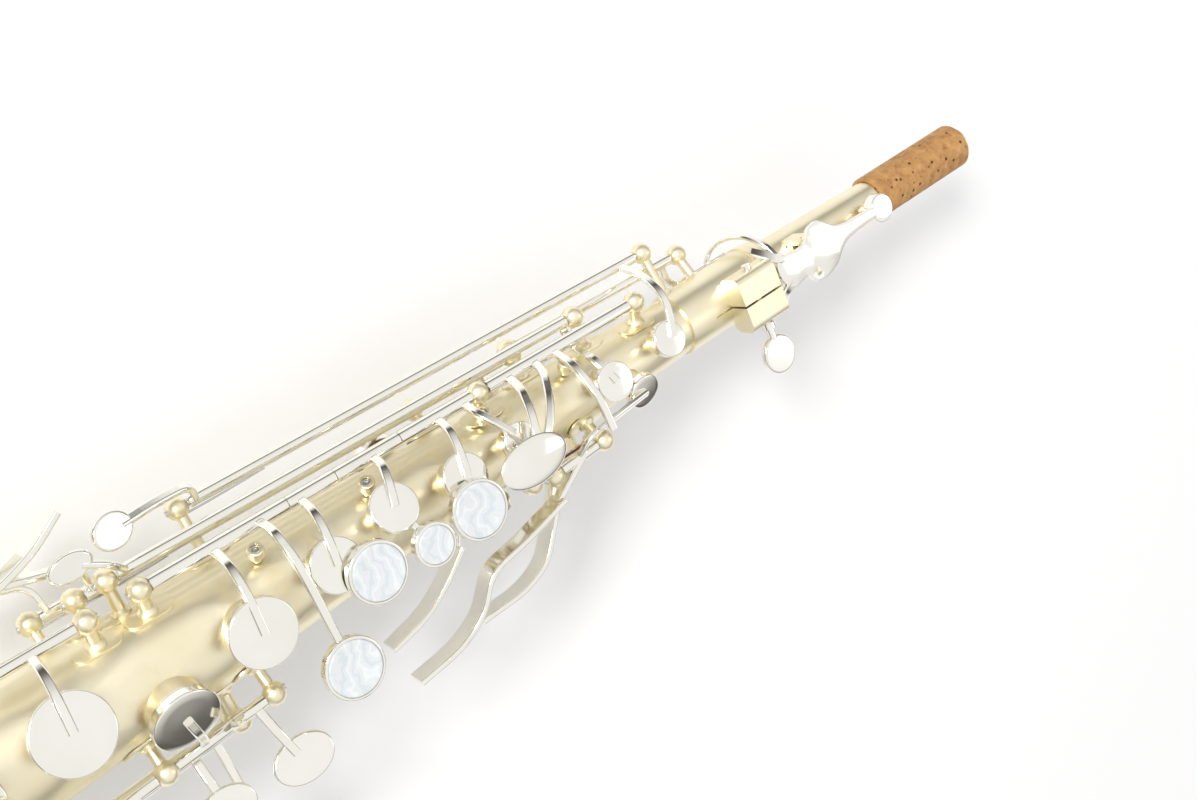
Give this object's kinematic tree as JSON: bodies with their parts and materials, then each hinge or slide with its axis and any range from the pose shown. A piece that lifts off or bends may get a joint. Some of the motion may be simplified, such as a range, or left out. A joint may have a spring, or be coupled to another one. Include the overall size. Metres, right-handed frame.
{
  "type": "soprano saxophone",
  "caption": "Straight soprano saxophone in satin pale gold with silver keywork, pearl finger rests, a straight neck with cork and a working key mechanism.",
  "frame": {"origin": "centre of the bell mouth, on the bore's axis", "axes": "+X runs up the bore from the bell mouth to the neck's tip, +Z is the front, where the finger pearls are, and +Y is the player's right"},
  "size_m": [0.655, 0.1094, 0.0942],
  "materials": {
    "lacquer": "satin pale gold lacquer",
    "silver": "polished silver plate",
    "steel": "polished steel",
    "cork": "natural cork",
    "pearl": "mother of pearl",
    "felt": "green felt"
  },
  "bodies": {
    "body": {"body_tube": "lacquer", "bell": "lacquer", "bell_rim": "lacquer", "bell_ring": "lacquer", "neck_receiver": "lacquer", "upper_posts": "lacquer", "lower_posts": "lacquer", "upper_hinge_rods": "steel", "lower_hinge_rods": "steel", "post_plates": "lacquer", "adjusting_screws": "lacquer", "thumb_rest": "lacquer", "thumb_hook_base": "lacquer", "strap_ring": "lacquer", "key_guards": "lacquer", "guard_felts": "felt"},
    "neck": {"neck_tube": "lacquer", "neck_collar": "lacquer", "neck_cork": "cork", "neck_tip_ring": "lacquer", "neck_saddle": "lacquer"},
    "neck_octave": {"neck_octave_key": "silver"},
    "neck_screw": {"neck_screw": "silver"},
    "thumb_hook": {"thumb_hook": "lacquer"},
    "b_key": {"b_key": "silver", "b_pearl": "pearl"},
    "bis_key": {"bis_key": "silver", "bis_pearl": "pearl"},
    "a_key": {"a_key": "silver", "a_pearl": "pearl"},
    "g_key": {"g_key": "silver", "g_pearl": "pearl"},
    "f_key": {"f_key": "silver", "f_pearl": "pearl"},
    "e_key": {"e_key": "silver", "e_pearl": "pearl"},
    "d_key": {"d_key": "silver", "d_pearl": "pearl"},
    "fsharp_key": {"fsharp_key": "silver"},
    "low_b_key": {"low_b_key": "silver"},
    "low_bb_key": {"low_bb_key": "silver"},
    "low_c_key": {"low_c_key": "silver"},
    "high_e_key": {"high_e_key": "silver"},
    "high_fsharp_key": {"high_fsharp_key": "silver"},
    "side_c_key": {"side_c_key": "silver"},
    "side_bb_key": {"side_bb_key": "silver"},
    "palm_f_key": {"palm_f_key": "silver"},
    "palm_eb_key": {"palm_eb_key": "silver"},
    "palm_d_key": {"palm_d_key": "silver"},
    "gsharp_key": {"gsharp_key": "silver"},
    "low_csharp_key": {"low_csharp_key": "silver"},
    "low_eb_key": {"low_eb_key": "silver"},
    "body_octave_key": {"body_octave_key": "silver"},
    "gsharp_touch": {"gsharp_touch": "silver"},
    "front_f_key": {"front_f_key": "silver"},
    "octave_thumb_key": {"octave_thumb_key": "silver"},
    "octave_rocker": {"octave_rocker": "silver"}
  },
  "joints": [
    {"name": "b_close", "type": "hinge", "parent": "body", "child": "b_key", "pos_m": [0.4145, 0.01919, 0.00895], "axis": [0.9993, -0.0336, -0.0156], "range_deg": [0, 7], "stiffness_Nm_per_rad": 0.06, "springref_deg": -12},
    {"name": "bis_close", "type": "hinge", "parent": "body", "child": "bis_key", "pos_m": [0.4145, 0.01919, 0.00895], "axis": [0.9993, -0.0336, -0.0156], "range_deg": [0, 7], "stiffness_Nm_per_rad": 0.06, "springref_deg": -12},
    {"name": "a_close", "type": "hinge", "parent": "body", "child": "a_key", "pos_m": [0.4145, 0.01919, 0.00895], "axis": [0.9993, -0.0336, -0.0156], "range_deg": [0, 7], "stiffness_Nm_per_rad": 0.06, "springref_deg": -12},
    {"name": "g_close", "type": "hinge", "parent": "body", "child": "g_key", "pos_m": [0.4145, 0.01919, 0.00895], "axis": [0.9993, -0.0336, -0.0156], "range_deg": [0, 7], "stiffness_Nm_per_rad": 0.06, "springref_deg": -12},
    {"name": "f_close", "type": "hinge", "parent": "body", "child": "f_key", "pos_m": [0.2545, 0.02481, 0.01319], "axis": [0.9993, -0.0327, -0.0174], "range_deg": [0, 7], "stiffness_Nm_per_rad": 0.06, "springref_deg": -12},
    {"name": "e_close", "type": "hinge", "parent": "body", "child": "e_key", "pos_m": [0.2545, 0.02481, 0.01319], "axis": [0.9993, -0.0327, -0.0174], "range_deg": [0, 7], "stiffness_Nm_per_rad": 0.06, "springref_deg": -12},
    {"name": "d_close", "type": "hinge", "parent": "body", "child": "d_key", "pos_m": [0.2545, 0.02481, 0.01319], "axis": [0.9993, -0.0327, -0.0174], "range_deg": [0, 7], "stiffness_Nm_per_rad": 0.06, "springref_deg": -12},
    {"name": "fsharp_close", "type": "hinge", "parent": "body", "child": "fsharp_key", "pos_m": [0.2545, 0.02481, 0.01319], "axis": [0.9993, -0.0327, -0.0174], "range_deg": [0, 7], "stiffness_Nm_per_rad": 0.06, "springref_deg": -12},
    {"name": "low_b_close", "type": "hinge", "parent": "body", "child": "low_b_key", "pos_m": [0.2145, -0.02991, 0.00636], "axis": [-0.9993, -0.0362, 0.0077], "range_deg": [0, 7], "stiffness_Nm_per_rad": 0.06, "springref_deg": -12},
    {"name": "low_bb_close", "type": "hinge", "parent": "body", "child": "low_bb_key", "pos_m": [0.2015, -0.03198, -0.00224], "axis": [-0.9993, -0.0369, -0.0026], "range_deg": [0, 7], "stiffness_Nm_per_rad": 0.06, "springref_deg": -12},
    {"name": "low_c_close", "type": "hinge", "parent": "body", "child": "low_c_key", "pos_m": [0.15375, 0.02811, 0.01494], "axis": [0.9993, -0.0327, -0.0174], "range_deg": [0, 7], "stiffness_Nm_per_rad": 0.06, "springref_deg": -12},
    {"name": "high_e_open", "type": "hinge", "parent": "body", "child": "high_e_key", "pos_m": [0.4025, 0.02388, 0.00336], "axis": [-0.9993, 0.0367, 0.0052], "range_deg": [0, 6], "stiffness_Nm_per_rad": 0.06, "springref_deg": -12},
    {"name": "high_fsharp_open", "type": "hinge", "parent": "body", "child": "high_fsharp_key", "pos_m": [0.4345, 0.02704, -0.00699], "axis": [-0.9993, 0.0358, -0.0093], "range_deg": [0, 6], "stiffness_Nm_per_rad": 0.06, "springref_deg": -12},
    {"name": "side_c_open", "type": "hinge", "parent": "body", "child": "side_c_key", "pos_m": [0.3875, 0.02209, -0.00193], "axis": [0.9993, -0.0369, 0.0032], "range_deg": [0, 9], "stiffness_Nm_per_rad": 0.06, "springref_deg": -12},
    {"name": "side_bb_open", "type": "hinge", "parent": "body", "child": "side_bb_key", "pos_m": [0.3655, 0.021, -0.00935], "axis": [0.9993, -0.0338, 0.0151], "range_deg": [0, 9], "stiffness_Nm_per_rad": 0.06, "springref_deg": -12},
    {"name": "palm_f_open", "type": "hinge", "parent": "body", "child": "palm_f_key", "pos_m": [0.457, -0.01361, 0.0141], "axis": [0.9993, 0.0257, -0.0266], "range_deg": [0, 9], "stiffness_Nm_per_rad": 0.06, "springref_deg": -12},
    {"name": "palm_eb_open", "type": "hinge", "parent": "body", "child": "palm_eb_key", "pos_m": [0.4595, -0.01843, -0.00161], "axis": [0.9993, 0.0369, 0.0032], "range_deg": [0, 9], "stiffness_Nm_per_rad": 0.06, "springref_deg": -12},
    {"name": "palm_d_open", "type": "hinge", "parent": "body", "child": "palm_d_key", "pos_m": [0.43, -0.01605, -0.01124], "axis": [0.9993, 0.0303, 0.0212], "range_deg": [0, 9], "stiffness_Nm_per_rad": 0.06, "springref_deg": -12},
    {"name": "gsharp_open", "type": "hinge", "parent": "body", "child": "gsharp_key", "pos_m": [0.2485, -0.02501, 0.0133], "axis": [0.9993, 0.0327, -0.0174], "range_deg": [0, 7], "stiffness_Nm_per_rad": 0.06, "springref_deg": -12},
    {"name": "low_csharp_open", "type": "hinge", "parent": "body", "child": "low_csharp_key", "pos_m": [0.2485, -0.02501, 0.0133], "axis": [0.9993, 0.0327, -0.0174], "range_deg": [0, 7], "stiffness_Nm_per_rad": 0.06, "springref_deg": -12},
    {"name": "low_eb_open", "type": "hinge", "parent": "body", "child": "low_eb_key", "pos_m": [0.15375, 0.02811, 0.01494], "axis": [0.9993, -0.0327, -0.0174], "range_deg": [0, 7], "stiffness_Nm_per_rad": 0.06, "springref_deg": -12},
    {"name": "body_octave_open", "type": "hinge", "parent": "body", "child": "body_octave_key", "pos_m": [0.463, -0.01229, -0.01229], "axis": [-0.9993, -0.0262, -0.0262], "range_deg": [0, 9], "stiffness_Nm_per_rad": 0.06, "springref_deg": -12},
    {"name": "gsharp_press", "type": "hinge", "parent": "body", "child": "gsharp_touch", "pos_m": [0.2485, -0.02501, 0.0133], "axis": [0.9993, 0.0327, -0.0174], "range_deg": [0, 7], "stiffness_Nm_per_rad": 0.06, "springref_deg": -12},
    {"name": "front_f_press", "type": "hinge", "parent": "body", "child": "front_f_key", "pos_m": [0.4145, 0.01919, 0.00895], "axis": [0.9993, -0.0336, -0.0156], "range_deg": [0, 4], "stiffness_Nm_per_rad": 0.06, "springref_deg": -12},
    {"name": "octave_thumb_press", "type": "hinge", "parent": "body", "child": "octave_thumb_key", "pos_m": [0.4145, -0.01016, -0.01626], "axis": [0.9993, 0.0196, 0.0314], "range_deg": [0, 7], "stiffness_Nm_per_rad": 0.06, "springref_deg": -12},
    {"name": "octave_rock", "type": "hinge", "parent": "body", "child": "octave_rocker", "pos_m": [0.4965, 0.01778, -0.00945], "axis": [0.9993, -0.0327, 0.0174], "range_deg": [0, 3], "stiffness_Nm_per_rad": 0.06, "springref_deg": -12},
    {"name": "neck_turn", "type": "hinge", "parent": "body", "child": "neck", "pos_m": [0.53, 0, 0], "axis": [1, 0, 0], "range_deg": [-15, 15]},
    {"name": "neck_octave_open", "type": "hinge", "parent": "neck", "child": "neck_octave", "pos_m": [0.565, 0, 0.0126], "axis": [0, -1, 0], "range_deg": [0, 3], "stiffness_Nm_per_rad": 0.06, "springref_deg": -11.46},
    {"name": "neck_screw_turn", "type": "hinge", "parent": "body", "child": "neck_screw", "pos_m": [0.539, 0, 0.0134], "axis": [0, -1, 0], "continuous": true},
    {"name": "thumb_hook_slide", "type": "slide", "parent": "body", "child": "thumb_hook", "axis": [1, 0, 0], "range_m": [-0.004, 0.004]}
  ],
  "couplings": [
    {"joint": "octave_rock", "follows": "octave_thumb_press", "ratio": 0.42857},
    {"joint": "gsharp_open", "follows": "gsharp_press", "ratio": 1}
  ]
}
